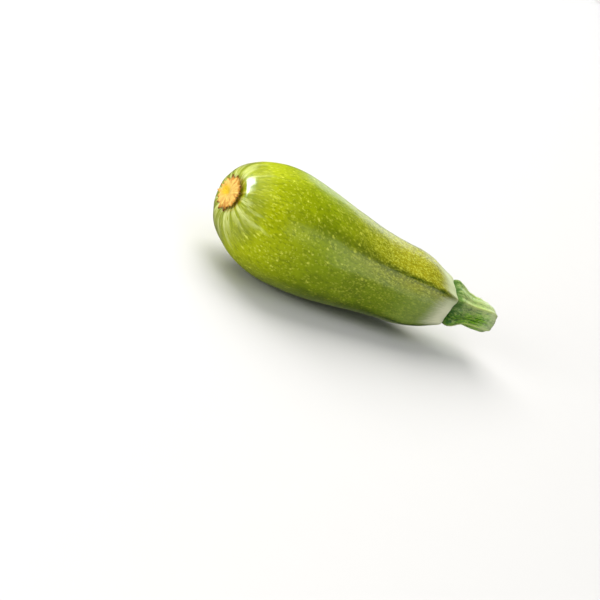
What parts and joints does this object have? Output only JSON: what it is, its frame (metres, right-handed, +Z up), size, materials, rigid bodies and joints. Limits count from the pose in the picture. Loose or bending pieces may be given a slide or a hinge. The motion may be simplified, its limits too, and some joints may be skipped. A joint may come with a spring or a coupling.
{
  "type": "zucchini",
  "caption": "Whole pale green zucchini with a rounded blossom end, a ribbed neck and a short cut stem, lying on its belly.",
  "frame": {"origin": "on the surface that the fruit lies on, under the centre of its bounding box", "axes": "+X along the length, from the blossom end towards the stem; +Z up, away from the surface; +Y to the left of a viewer who looks from the blossom end towards the stem"},
  "size_m": [0.1686, 0.053, 0.0539],
  "materials": {
    "skin": "waxy, satin, pale speckles",
    "stem_rind": "dull, fibrous, ribbed",
    "dry_scar": "dry, corky"
  },
  "bodies": {
    "root": {"fruit": "skin", "stem": "stem_rind", "blossom_scar": "dry_scar"}
  },
  "joints": []
}
